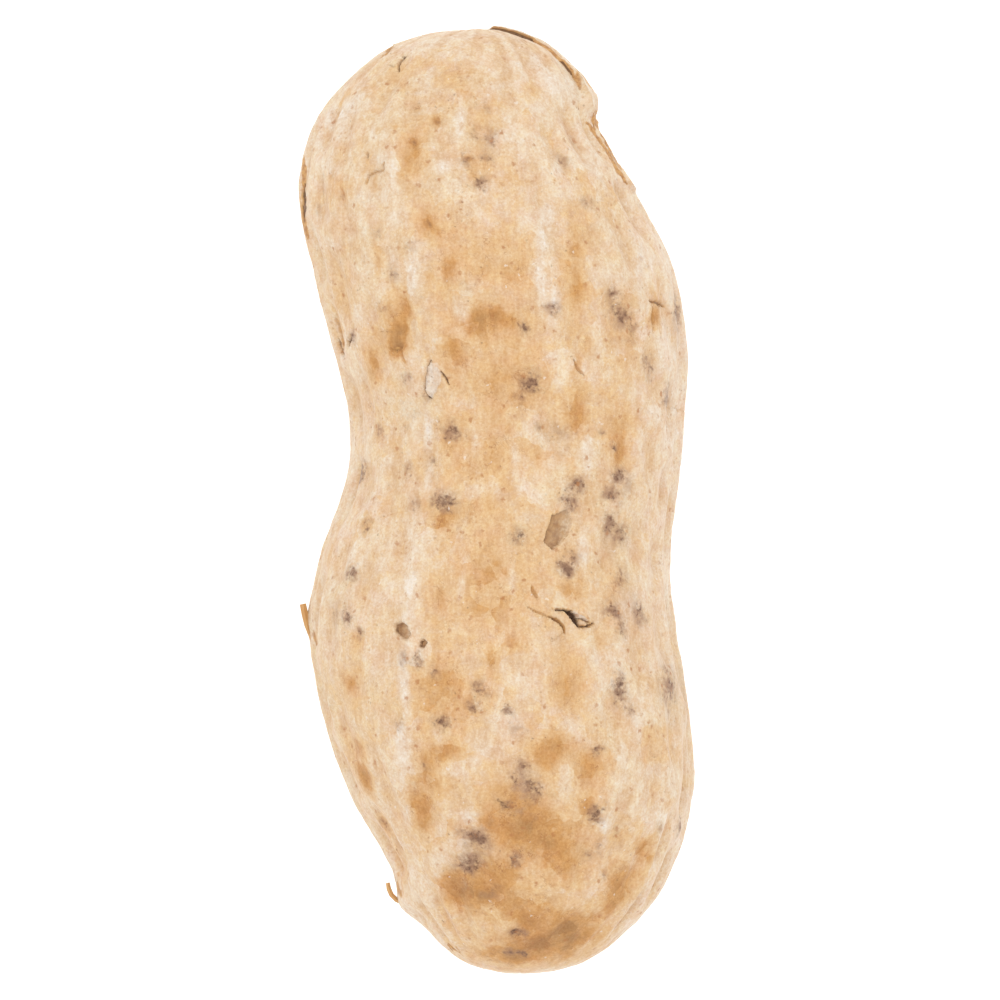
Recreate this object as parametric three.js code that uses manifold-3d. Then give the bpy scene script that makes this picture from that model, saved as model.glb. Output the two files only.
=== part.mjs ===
// A peanut in its shell: one closed, two-lobed pod lying on its side. Millimetres, +Z up.
// The pod runs along Y. Its seam lies in the level plane through its middle, on the +X and -X sides.
// The origin is on the surface that the pod lies on, under the middle of its box.

import * as THREE from 'three';
import { mergeVertices } from 'three/addons/utils/BufferGeometryUtils.js';
import Module from 'manifold-3d';

// The pod's stations from tip to tip: place along the pod, place of the centre line across it,
// half width, half depth, and height of the centre line. Both tips close on a point.
const STATIONS = [
	[ 20.27, - 0.82, 0.0, 0.0, 6.9 ],
	[ 19.82, - 1.07, 2.8, 2.6, 6.9 ],
	[ 18.3, - 1.38, 4.75, 4.4, 6.86 ],
	[ 15.9, - 1.71, 6.12, 5.8, 6.80 ],
	[ 13.0, - 1.22, 7.18, 6.6, 6.74 ],
	[ 9.8, - 0.15, 7.6, 6.95, 6.71 ],
	[ 6.5, 0.53, 7.44, 6.8, 6.74 ],
	[ 3.3, 0.88, 7.08, 6.35, 6.84 ],
	[ 0.6, 0.66, 7.1, 6.2, 6.92 ],
	[ - 2.6, - 0.04, 7.48, 6.6, 6.98 ],
	[ - 5.9, - 0.09, 7.75, 7.1, 7.04 ],
	[ - 9.2, 0.4, 7.72, 7.3, 7.10 ],
	[ - 12.4, 0.98, 7.3, 7.0, 7.08 ],
	[ - 15.2, 1.42, 6.27, 6.0, 7.05 ],
	[ - 17.7, 1.4, 5.05, 4.7, 7.05 ],
	[ - 19.9, 1.19, 2.7, 2.5, 7.10 ],
	[ - 20.5, 1.0, 0.0, 0.0, 7.15 ]
];

// Facets around the pod and along it
const AROUND = 112;
const ALONG = 48;

// The raised net: ribs that run the length of the pod, and cross ribs that close the furrows into pits
const RIBS = 24;
const FIRST_RIB = 13; // degrees round from +X
const CROSS_PITCH = 4.4; // along the pod
const PIT_DEPTH = 0.5; // from the crest of a rib to the floor of a pit
const LUMP_HEIGHT = 0.12; // broad swellings under the net
const TIP_FADE = 4.0; // the net dies out over this length at each tip

// The seam of the two halves, near 0 and 180 degrees round, which wanders a little up and down
const SEAM_WIDTH = 0.9;
const SEAM_HEIGHT = 0.16;
const SEAM_SWAY = 6; // degrees

// On +X, beside the upper tip, the halves have parted: place along the pod, degrees of the seam above level,
// how far the upper half's edge has drawn in, and how far the lower half stands out
const PARTED = [
	[ 20.25, 8, 0.02, 0.17 ],
	[ 20.0, 10, 0.16, 0.09 ],
	[ 19.7, 11, 0.13, 0.09 ],
	[ 19.3, 12, 0.12, 0.12 ],
	[ 18.9, 13, 0.11, 0.18 ],
	[ 18.5, 13, 0.1, 0.34 ],
	[ 18.1, 14, 0.08, 0.54 ],
	[ 17.7, 18, 0.03, 0.58 ],
	[ 17.2, 23, 0, 0.6 ],
	[ 16.9, 23, 0, 0.54 ],
	[ 16.7, 21, 0, 0.4 ],
	[ 16.4, 17, 0, 0.24 ],
	[ 15.6, 12, 0, 0 ],
	[ 15.0, 14, 0, 0.12 ],
	[ 14.2, 17, 0, 0.23 ],
	[ 13.7, 16, 0, 0.32 ],
	[ 13.4, 13, 0, 0.3 ],
	[ 13.2, 10, 0, 0.06 ],
	[ 12.6, 5.7, 0, 0 ]
];
const PARTED_FROM = 0.6; // the parting starts this far out from the middle of the tip
const EDGE_FALL = 1.4; // the upper half falls away to its edge over this length
const STEP_WIDTH = 0.45; // round the pod, from the upper half's edge down to the lower half's rim
const RIM_SHARE = 0.6; // how far the rim stands out, as a share of the bulge below it
const BULGE_BELOW = 12; // degrees round below the rim
const BULGE_END = 55; // degrees round below the rim, where it has fallen back to the pod

// The spine that the relief stands out from ends this far inside the tips
const SPINE_END = 14;

// Torn flakes of the outer skin: outline seen from above, underside and thickness
const FLAKES = [
	{
		outline: [ [ - 8.5, - 4.53 ], [ - 8.2, - 5.78 ], [ - 7.5, - 6.4 ], [ - 7.2, - 4.6 ] ],
		under: 6.8,
		thickness: 0.6
	},
	{
		outline: [ [ - 4.76, - 16.6 ], [ - 4.66, - 17.0 ], [ - 4.3, - 17.4 ], [ - 3.4, - 17.2 ], [ - 3.6, - 16.7 ] ],
		under: 6.8,
		thickness: 0.6
	}
];

// The height at which the two lobes are cut level, so that each rests on a small flat spot
const RESTING_CUT = 0.05;

const SHELL_COLOUR = 0xedd2aa;
const DEGREES = 180 / Math.PI;

// A curve through the stations at t, from 0 at the first to 1 at the last.
// Past a tip the curve carries on as its own mirror image, so that it rounds over there.
function stationAt( t ) {

	const last = STATIONS.length - 1;
	const along = Math.min( Math.max( t, 0 ), 1 ) * last;
	const from = Math.min( Math.floor( along ), last - 1 );
	const f = along - from;

	const pick = ( i ) => {

		if ( i >= 0 && i <= last ) return STATIONS[ i ];
		const [ y, x, halfWidth, halfDepth, z ] = STATIONS[ i < 0 ? - i : 2 * last - i ];
		return [ y, x, - halfWidth, - halfDepth, z ];

	};

	const [ a, b, c, d ] = [ from - 1, from, from + 1, from + 2 ].map( pick );
	return b.map( ( _, k ) => b[ k ] + 0.5 * f * ( c[ k ] - a[ k ]
		+ f * ( 2 * a[ k ] - 5 * b[ k ] + 4 * c[ k ] - d[ k ]
		+ f * ( 3 * ( b[ k ] - c[ k ] ) + d[ k ] - a[ k ] ) ) ) );

}

// A fixed number between 0 and 1 for each rib or furrow
function chance( n ) {

	const s = Math.sin( n * 12.9898 + 4.1414 ) * 43758.5453;
	return s - Math.floor( s );

}

function smoothstep( from, to, value ) {

	return THREE.MathUtils.smoothstep( value, from, to );

}

// How high the net stands at an angle round the pod and a place along it: 1 on a crest, 0 in a pit
function net( degrees, y ) {

	const sway = 2.6 * Math.sin( y / 5.2 + 0.8 ) + 1.8 * Math.sin( y / 2.3 + degrees / DEGREES );
	const q = ( degrees - FIRST_RIB + sway ) * RIBS / 360;
	const furrow = ( ( Math.floor( q ) % RIBS ) + RIBS ) % RIBS;
	const crest = ( ( Math.round( q ) % RIBS ) + RIBS ) % RIBS;
	const across = q - Math.floor( q );
	const onRib = Math.cos( Math.PI * across ) ** 2;

	const strength = 0.78 + 0.22 * Math.sin( y / ( 2.6 + 1.8 * chance( crest ) ) + 6.28 * chance( crest + 40 ) );
	const pitch = CROSS_PITCH * ( 0.8 + 0.4 * chance( furrow + 160 ) );
	const phase = y / pitch + chance( furrow + 80 ) + 0.2 * Math.sin( y / 2.9 + 6.28 * chance( furrow + 120 ) );
	const crossRib = ( 0.5 + 0.5 * Math.cos( 2 * Math.PI * phase ) ) ** 2;
	return onRib * strength + ( 1 - onRib ) * crossRib * 0.95;

}

// Broad swellings, the same at a point whichever way it is reached
function lumps( x, y, z ) {

	return ( Math.sin( x / 2.1 + y / 3.3 + 1.0 ) + Math.sin( y / 2.7 - z / 2.4 + 2.0 )
		+ Math.sin( z / 2.9 + x / 3.6 - y / 4.1 ) ) / 3;

}

// The parted seam's values at a place along the pod, on straight lines between the rows
function partedAt( y ) {

	const last = PARTED.length - 1;
	if ( y >= PARTED[ 0 ][ 0 ] ) return PARTED[ 0 ];
	if ( y <= PARTED[ last ][ 0 ] ) return PARTED[ last ];
	const next = PARTED.findIndex( ( row ) => row[ 0 ] <= y );
	const [ above, below ] = [ PARTED[ next - 1 ], PARTED[ next ] ];
	const share = ( above[ 0 ] - y ) / ( above[ 0 ] - below[ 0 ] );
	return above.map( ( value, k ) => value + share * ( below[ k ] - value ) );

}

// How many degrees a point is above the seam, on whichever side of the pod it is
function aboveSeam( degrees, y ) {

	const onRight = Math.abs( degrees ) < 90;
	const aboveLevel = onRight ? degrees : Math.sign( degrees ) * 180 - degrees;
	const isParted = onRight && y > PARTED[ PARTED.length - 1 ][ 0 ];
	return aboveLevel - ( isParted ? partedAt( y )[ 1 ] : SEAM_SWAY * Math.sin( y / 8 - 0.3 ) );

}

// The height that the parted halves add on +X: the upper one drawn in, the lower one bulging out below its rim
function parting( degrees, seam, halfWidth, y ) {

	if ( Math.abs( degrees ) >= 90 ) return 0;
	const [ , , drawnIn, standsOut ] = partedAt( y );
	const arc = seam / DEGREES * halfWidth;
	const upper = - drawnIn * ( 1 - smoothstep( 0, EDGE_FALL, arc ) );
	const bulge = RIM_SHARE + ( 1 - RIM_SHARE ) * smoothstep( 0, BULGE_BELOW, - seam );
	const lower = standsOut * bulge * ( 1 - smoothstep( BULGE_BELOW + 3, BULGE_END, - seam ) );
	const step = THREE.MathUtils.clamp( 0.5 - arc / STEP_WIDTH, 0, 1 );
	const fromTip = smoothstep( PARTED_FROM - 0.1, PARTED_FROM + 0.1, halfWidth );
	return fromTip * ( upper * ( 1 - step ) + lower * step );

}

// The point of the pod's surface at t along it and an angle round it
function podPoint( t, degrees ) {

	const [ y, centreX, halfWidth, halfDepth, centreZ ] = stationAt( t );
	const turn = degrees / DEGREES;
	const across = halfWidth * Math.cos( turn );
	const smooth = new THREE.Vector3( centreX + across, y, centreZ + halfDepth * Math.sin( turn ) );

	// Straight out from the spine
	const spine = new THREE.Vector3( centreX, Math.min( Math.max( y, - SPINE_END ), SPINE_END ), centreZ );
	const out = smooth.clone().sub( spine ).normalize();

	const nearTip = Math.min( STATIONS[ 0 ][ 0 ] - y, y - STATIONS[ STATIONS.length - 1 ][ 0 ] );
	const fade = smoothstep( 0.2, TIP_FADE, nearTip );
	const seam = aboveSeam( degrees, y );
	const onSeam = Math.exp( - ( ( seam / DEGREES * halfWidth / SEAM_WIDTH ) ** 2 ) );

	let height = - PIT_DEPTH * ( 1 - Math.max( net( degrees, y ), onSeam ) ) * fade;
	height += LUMP_HEIGHT * lumps( smooth.x, smooth.y, smooth.z ) * fade;
	height += SEAM_HEIGHT * onSeam * fade;
	height += parting( degrees, seam, halfWidth, y );

	return smooth.addScaledVector( out, height );

}

// The whole outer surface, from a sphere whose rows become the stations
function podGeometry() {

	const geometry = new THREE.SphereGeometry( 1, AROUND, ALONG );
	const position = geometry.getAttribute( 'position' );
	for ( let i = 0; i < position.count; i ++ ) {

		const t = Math.acos( THREE.MathUtils.clamp( position.getY( i ), - 1, 1 ) ) / Math.PI;
		const degrees = Math.atan2( position.getZ( i ), position.getX( i ) ) * DEGREES;
		const point = podPoint( t, degrees );
		position.setXYZ( i, point.x, point.y, point.z );

	}

	return geometry;

}

function flakeGeometry( { outline, under, thickness } ) {

	const shape = new THREE.Shape( outline.map( ( [ x, y ] ) => new THREE.Vector2( x, y ) ) );
	const geometry = new THREE.ExtrudeGeometry( shape, { depth: thickness, bevelEnabled: false } );
	geometry.translate( 0, 0, under );
	return geometry;

}

const wasm = await Module();
wasm.setup();

function toSolid( geometry ) {

	geometry.deleteAttribute( 'normal' );
	geometry.deleteAttribute( 'uv' );
	const merged = mergeVertices( geometry, 1e-4 );
	return new wasm.Manifold( new wasm.Mesh( {
		numProp: 3,
		vertProperties: new Float32Array( merged.getAttribute( 'position' ).array ),
		triVerts: new Uint32Array( merged.getIndex().array )
	} ) );

}

function toGeometry( solid ) {

	const mesh = solid.getMesh();
	const geometry = new THREE.BufferGeometry();
	geometry.setAttribute( 'position', new THREE.BufferAttribute( new Float32Array( mesh.vertProperties ), 3 ) );
	geometry.setIndex( new THREE.BufferAttribute( new Uint32Array( mesh.triVerts ), 1 ) );
	return geometry;

}

// The pod with its flakes, cut level where it rests
let solid = toSolid( podGeometry() );
for ( const flake of FLAKES ) solid = solid.add( toSolid( flakeGeometry( flake ) ) );

const below = new THREE.BoxGeometry( 60, 60, 20 );
below.translate( 0, 0, RESTING_CUT - 10 );
solid = solid.subtract( toSolid( below ) );

const geometry = toGeometry( solid );
geometry.computeBoundingBox();
const box = geometry.boundingBox;
geometry.translate( - ( box.min.x + box.max.x ) / 2, - ( box.min.y + box.max.y ) / 2, - box.min.z );

const shell = new THREE.MeshStandardMaterial( { color: SHELL_COLOUR, roughness: 0.8, metalness: 0 } );
const pod = new THREE.Mesh( geometry, shell );
pod.name = 'pod';

const peanut = new THREE.Group();
peanut.add( pod );

export default peanut;
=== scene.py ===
"""A peanut in its shell, lying on a pale floor in soft studio light, seen from straight above.

The pod's form is worked out in millimetres, in the frame that its stations are written in. The finished
mesh is then moved onto the CAD pod's box and written in metres.
"""

import math
import random

import bmesh
import bpy
import numpy as np
from mathutils import Matrix, Vector, noise


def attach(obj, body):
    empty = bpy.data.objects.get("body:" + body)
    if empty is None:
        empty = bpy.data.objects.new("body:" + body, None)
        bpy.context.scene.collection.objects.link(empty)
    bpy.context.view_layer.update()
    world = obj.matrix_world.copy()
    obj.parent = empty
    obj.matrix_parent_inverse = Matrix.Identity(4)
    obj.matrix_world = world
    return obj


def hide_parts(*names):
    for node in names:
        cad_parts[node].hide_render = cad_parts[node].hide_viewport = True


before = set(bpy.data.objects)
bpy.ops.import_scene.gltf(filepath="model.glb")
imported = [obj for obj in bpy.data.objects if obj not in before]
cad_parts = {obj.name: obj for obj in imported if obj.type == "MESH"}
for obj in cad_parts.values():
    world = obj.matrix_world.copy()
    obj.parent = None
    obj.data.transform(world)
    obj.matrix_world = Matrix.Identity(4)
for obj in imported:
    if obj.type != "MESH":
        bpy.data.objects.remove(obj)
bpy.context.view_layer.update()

MM = 0.001

# The pod's stations from tip to tip, as in its CAD source: place along the pod, place of the centre line
# across it, half width, half depth, height of the centre line
STATIONS = np.array([
    (20.27, -0.82, 0.0, 0.0, 6.90),
    (19.82, -1.07, 2.8, 2.6, 6.90),
    (18.3, -1.38, 4.75, 4.4, 6.86),
    (15.9, -1.71, 6.12, 5.8, 6.80),
    (13.0, -1.22, 7.18, 6.6, 6.74),
    (9.8, -0.15, 7.6, 6.95, 6.71),
    (6.5, 0.53, 7.44, 6.8, 6.74),
    (3.3, 0.88, 7.08, 6.35, 6.84),
    (0.6, 0.66, 7.1, 6.2, 6.92),
    (-2.6, -0.04, 7.48, 6.6, 6.98),
    (-5.9, -0.09, 7.75, 7.1, 7.04),
    (-9.2, 0.4, 7.72, 7.3, 7.10),
    (-12.4, 0.98, 7.3, 7.0, 7.08),
    (-15.2, 1.42, 6.27, 6.0, 7.05),
    (-17.7, 1.4, 5.05, 4.7, 7.05),
    (-19.9, 1.19, 2.7, 2.5, 7.10),
    (-20.5, 1.0, 0.0, 0.0, 7.15),
])

# The raised net and the seam, with the same values as the CAD pod
RIBS = 24
FIRST_RIB = 13
CROSS_PITCH = 4.4
PIT_DEPTH = 0.5
LUMP_HEIGHT = 0.12
TIP_FADE = 4.0
SEAM_WIDTH = 0.9
SEAM_HEIGHT = 0.16
SEAM_SWAY = 6

# The right-hand seam beside the upper tip, where the halves have parted: place along the pod, degrees of the
# seam above level, how far the upper half's edge has drawn in, and how far the lower half stands out
PARTED = np.array([
    (20.25, 8, 0.02, 0.17),
    (20.0, 10, 0.16, 0.09),
    (19.7, 11, 0.13, 0.09),
    (19.3, 12, 0.12, 0.12),
    (18.9, 13, 0.11, 0.18),
    (18.5, 13, 0.1, 0.25),
    (18.1, 14, 0.08, 0.42),
    (17.7, 18, 0.03, 0.52),
    (17.4, 21, 0, 0.66),
    (17.1, 23, 0, 0.78),
    (16.9, 23, 0, 0.74),
    (16.7, 21, 0, 0.58),
    (16.4, 17, 0, 0.24),
    (15.6, 12, 0, 0),
    (15.0, 14, 0, 0.15),
    (14.2, 17, 0, 0.28),
    (13.7, 16, 0, 0.38),
    (13.4, 13, 0, 0.36),
    (13.2, 10, 0, 0.06),
    (12.6, 5.7, 0, 0),
])

# The parting starts this far from the tip's middle. The upper half's edge falls away over a short way, and
# the lower half bulges out below its rim.
PARTED_FROM = 0.6
EDGE_FALL = 1.4
STEP_WIDTH = 0.2
RIM_SHARE = 0.6
BULGE_BELOW = 12
BULGE_END = 55

# Behind the torn blades on -X the skin swells or dips: place along the pod, reach along it, and height
TORN_SWELLS = [(-4.9, 1.1, 0.12), (-15.9, 0.35, -0.09), (-17.4, 0.6, 0.32)]

# The visible face is worn, so that its net stands out less than elsewhere. The relief stands out from a line
# through the pod that ends SPINE_END from its middle, and the pod is cut level where it rests.
WORN = 0.6
SPINE_END = 14
RESTING_CUT = 0.05

# From the stations' frame to the CAD frame
SEAT = np.array([0.0, 0.0566, -0.05])

# The step between the parted halves: how much of its width is open gap and how much is gap or torn rim, by
# place along the pod, and the gap's depth
STEP_SHARES = np.array([
    (20.27, 0.65, 1.15),
    (19.9, 0.65, 1.15),
    (19.8, 0.0, 0.65),
    (18.95, 0.0, 0.6),
    (18.85, 0.5, 0.85),
    (18.4, 0.45, 0.75),
    (18.2, 0.2, 0.4),
    (17.9, 0.0, 0.35),
    (17.6, 0.0, 0.0),
])
GAP_DEPTH = 0.05

# Places along the pod: where the seam ends being open, where the skin below it ends being bleached, and from
# where to where its rim darkens
OPEN_SEAM_TO = 12.9
BLEACHED_TO = 16.7
DARK_RIM = (19.7, 19.95)

# The photograph's frame: the point of it that lies over the stations' origin, and its scale
PHOTO_ORIGIN = (496.5, 499.0)
PHOTO_CENTRE = (500.0, 500.0)
MM_PER_PX = 0.04316
PHOTO_SIDE = 1000

# Facets of the fine pod, and the distances from a wound in pixels within which its faces are halved again
AROUND = 288
ALONG = 190
WOUND_CUTS = (7.0, 3.5)

# Marks on the face that the photograph shows, read off it in its own pixels. Each is its middle, half
# length, half width and strength, and then its tilt from upright in degrees, clockwise, where it has one.
OCHRE = [
    (404, 87, 9, 5, 0.5), (345, 97, 12, 5, 0.8, 25), (427, 62, 7, 18, 0.5), (440, 45, 6, 11, 1),
    (475, 72, 8, 14, 0.2), (495, 47, 5, 12, 0.1), (535, 88, 9, 10, 0.35), (390, 78, 4, 8, 0.5),
    (368, 97, 12, 7, 0.4, 20), (413, 125, 12, 8, 0.2), (418, 160, 13, 9, 0.2), (340, 190, 9, 8, 0.5),
    (470, 175, 6, 4, 1.3), (517, 182, 5, 7, 0.8), (578, 235, 16, 7, 0.45, -6), (577, 288, 26, 6, 0.6, 3),
    (565, 267, 5, 8, 0.7), (612, 190, 6, 9, 0.5), (594, 122, 8, 3, 0.9), (556, 125, 14, 4, 0.4),
    (581, 106, 6, 3, 1), (447, 277, 22, 9, 0.9, 14), (427, 277, 5, 5, 1.2), (518, 270, 15, 8, 0.6, 18),
    (490, 243, 6, 13, 0.5), (485, 272, 16, 5, 0.2), (477, 324, 14, 9, 0.9, 35), (496, 318, 6, 10, 0.9),
    (510, 323, 5, 6, 0.6), (455, 342, 7, 15, 0.5, -20), (455, 372, 15, 11, 0.6),
    (405, 310, 13, 7, 0.9, 15), (397, 331, 7, 11, 1.3), (396, 343, 11, 7, 1.7), (378, 263, 8, 5, 0.7),
    (347, 270, 11, 6, 0.5), (347, 313, 12, 4, 0.3, -20), (372, 364, 16, 5, 0.6, 5),
    (494, 385, 26, 8, 0.2, 5), (492, 432, 22, 9, 0.3, 3), (512, 430, 9, 5, 0.9, 20),
    (540, 460, 13, 5, 0.6, -15), (575, 410, 22, 6, 0.4, 2), (577, 368, 7, 5, 0.8), (587, 345, 12, 7, 0.6),
    (620, 453, 15, 6, 0.8, 8), (630, 440, 15, 4, 0.1), (655, 318, 15, 6, 1.3, 12), (628, 365, 12, 5, 0.4),
    (378, 430, 10, 4, 0.9), (395, 385, 6, 5, 0.4), (557, 395, 5, 6, 0.4), (448, 430, 26, 8, 0.4),
    (368, 525, 9, 6, 0.8), (403, 530, 10, 4, 0.5), (443, 521, 8, 7, 0.8), (487, 505, 8, 18, 0.5),
    (497, 575, 24, 10, 0.35, 15), (485, 610, 22, 9, 0.3, 5), (440, 600, 17, 10, 0.6),
    (440, 640, 5, 8, 0.8), (512, 642, 5, 6, 0.8), (567, 588, 10, 9, 0.6), (564, 660, 14, 6, 0.5),
    (569, 688, 18, 13, 0.5), (557, 741, 8, 10, 0.9), (541, 752, 12, 6, 0.4, -20),
    (590, 768, 26, 10, 0.4, 3), (587, 805, 12, 8, 0.7), (650, 785, 4, 18, 0.5), (668, 800, 11, 4, 1.6),
    (643, 848, 7, 16, 0.7, 30), (616, 895, 17, 7, 0.8, 15), (570, 930, 11, 26, 0.5, -20),
    (527, 920, 6, 11, 0.9), (490, 893, 8, 18, 0.9, -8), (453, 890, 17, 12, 0.3), (530, 825, 16, 16, 0.4),
    (546, 840, 9, 9, 0.7), (488, 820, 7, 7, 1.2), (425, 806, 13, 15, 0.35), (423, 822, 5, 8, 0.3),
    (425, 765, 17, 10, 0.4), (447, 750, 6, 19, 0.8), (440, 676, 8, 22, 0.4), (432, 705, 13, 13, 0.1),
    (352, 680, 8, 14, 0.8), (362, 668, 5, 6, 1.1), (358, 745, 7, 12, 1.1), (362, 776, 15, 8, 1.2, -10),
    (386, 683, 22, 6, 0.1, -20), (490, 655, 12, 5, 1.2), (358, 640, 8, 6, 0.9),
    (333, 552, 20, 4, 0.9, 12), (405, 858, 13, 8, 1.1), (383, 820, 9, 5, 0.9), (617, 590, 13, 6, 0.6),
    (655, 590, 11, 13, 0.6), (643, 535, 16, 11, 0.3), (600, 645, 11, 4, 0.9, -15),
    (575, 940, 9, 18, 0.8, -15), (540, 945, 8, 14, 0.7), (512, 955, 7, 14, 0.8), (578, 262, 26, 7, 0.3),
    (510, 275, 12, 8, 0.5), (445, 262, 12, 10, 0.2), (452, 745, 6, 14, 0.5), (300, 205, 24, 3, 0.8),
    (419, 110, 4, 3, 1.4), (438, 122, 5, 4, 1.4), (413, 146, 3, 3, 1.3), (467, 161, 4, 5, 1.6),
    (343, 196, 5, 3, 1.4), (332, 175, 3, 2, 1.2), (446, 98, 3, 3, 1), (428, 227, 4, 3, 1.6),
    (395, 127, 3, 2, 1), (402, 177, 3, 3, 1), (353, 192, 6, 6, 0.5), (360, 145, 9, 8, 0.45),
]

# The square-edged tan patch on the right of the lower lobe: its middle, half length, half width and strength
SQUARE_PATCH = (656, 743, 20, 15, 0.4)

PALE = [
    (546, 215, 16, 6, 1, 12), (541, 245, 18, 6, 1, 3), (541, 285, 24, 5, 0.9, -3),
    (549, 322, 12, 7, 0.6, -15), (556, 168, 14, 5, 0.8), (443, 167, 9, 9, 0.9), (460, 125, 26, 6, 0.8),
    (413, 275, 26, 6, 0.8, 3), (396, 215, 12, 14, 0.4), (462, 310, 13, 10, 0.7),
    (437, 335, 15, 5, 0.4, 15), (430, 378, 10, 6, 0.5), (428, 430, 26, 5, 0.8, 2), (429, 475, 18, 5, 0.7),
    (414, 535, 30, 9, 0.5), (412, 582, 28, 9, 0.6, 3), (407, 625, 22, 8, 0.5, 6), (404, 680, 34, 7, 0.9),
    (404, 745, 36, 7, 0.85), (404, 810, 32, 7, 0.5), (404, 865, 26, 4, 0.2), (476, 440, 16, 6, 0.5),
    (515, 455, 26, 6, 0.5), (587, 455, 24, 6, 0.7), (582, 548, 26, 6, 0.7), (640, 262, 40, 4, 0.8),
    (666, 332, 22, 7, 0.7), (640, 440, 28, 5, 0.5), (553, 300, 12, 8, 0.9), (463, 585, 30, 4, 0.5, 5),
    (512, 580, 24, 4, 0.5), (496, 715, 20, 8, 0.25, 5), (484, 748, 14, 9, 0.5, 35),
    (457, 772, 9, 14, 0.5), (468, 814, 7, 14, 0.7, -10), (449, 836, 15, 8, 0.55, 30),
    (434, 868, 20, 8, 0.45, 15), (563, 772, 14, 8, 0.3), (521, 708, 24, 9, 0.5),
    (600, 668, 32, 7, 0.4, -8), (622, 765, 40, 9, 0.5), (603, 826, 7, 7, 0.9), (565, 826, 11, 8, 0.2),
    (388, 650, 26, 9, 0.4), (377, 780, 26, 5, 0.3, -5), (355, 108, 20, 4, 1, 40), (422, 95, 4, 14, 0.5),
    (536, 62, 7, 15, 0.7, -20), (562, 90, 14, 6, 0.5, -20), (572, 903, 6, 22, 0.1),
    (650, 690, 40, 6, 0.45), (541, 258, 60, 4, 0.8, 2), (409, 600, 50, 4, 0.7, 4), (404, 720, 60, 4, 0.7),
    (345, 130, 16, 5, 0.7, 30), (372, 130, 12, 5, 0.6), (395, 170, 20, 5, 0.6, -10),
    (330, 160, 14, 4, 0.6, 10), (358, 190, 10, 9, 0.5), (385, 200, 6, 12, 0.6),
    (500, 88, 6, 16, 0.5, -15), (450, 95, 5, 14, 0.4, 10),
]

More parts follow.
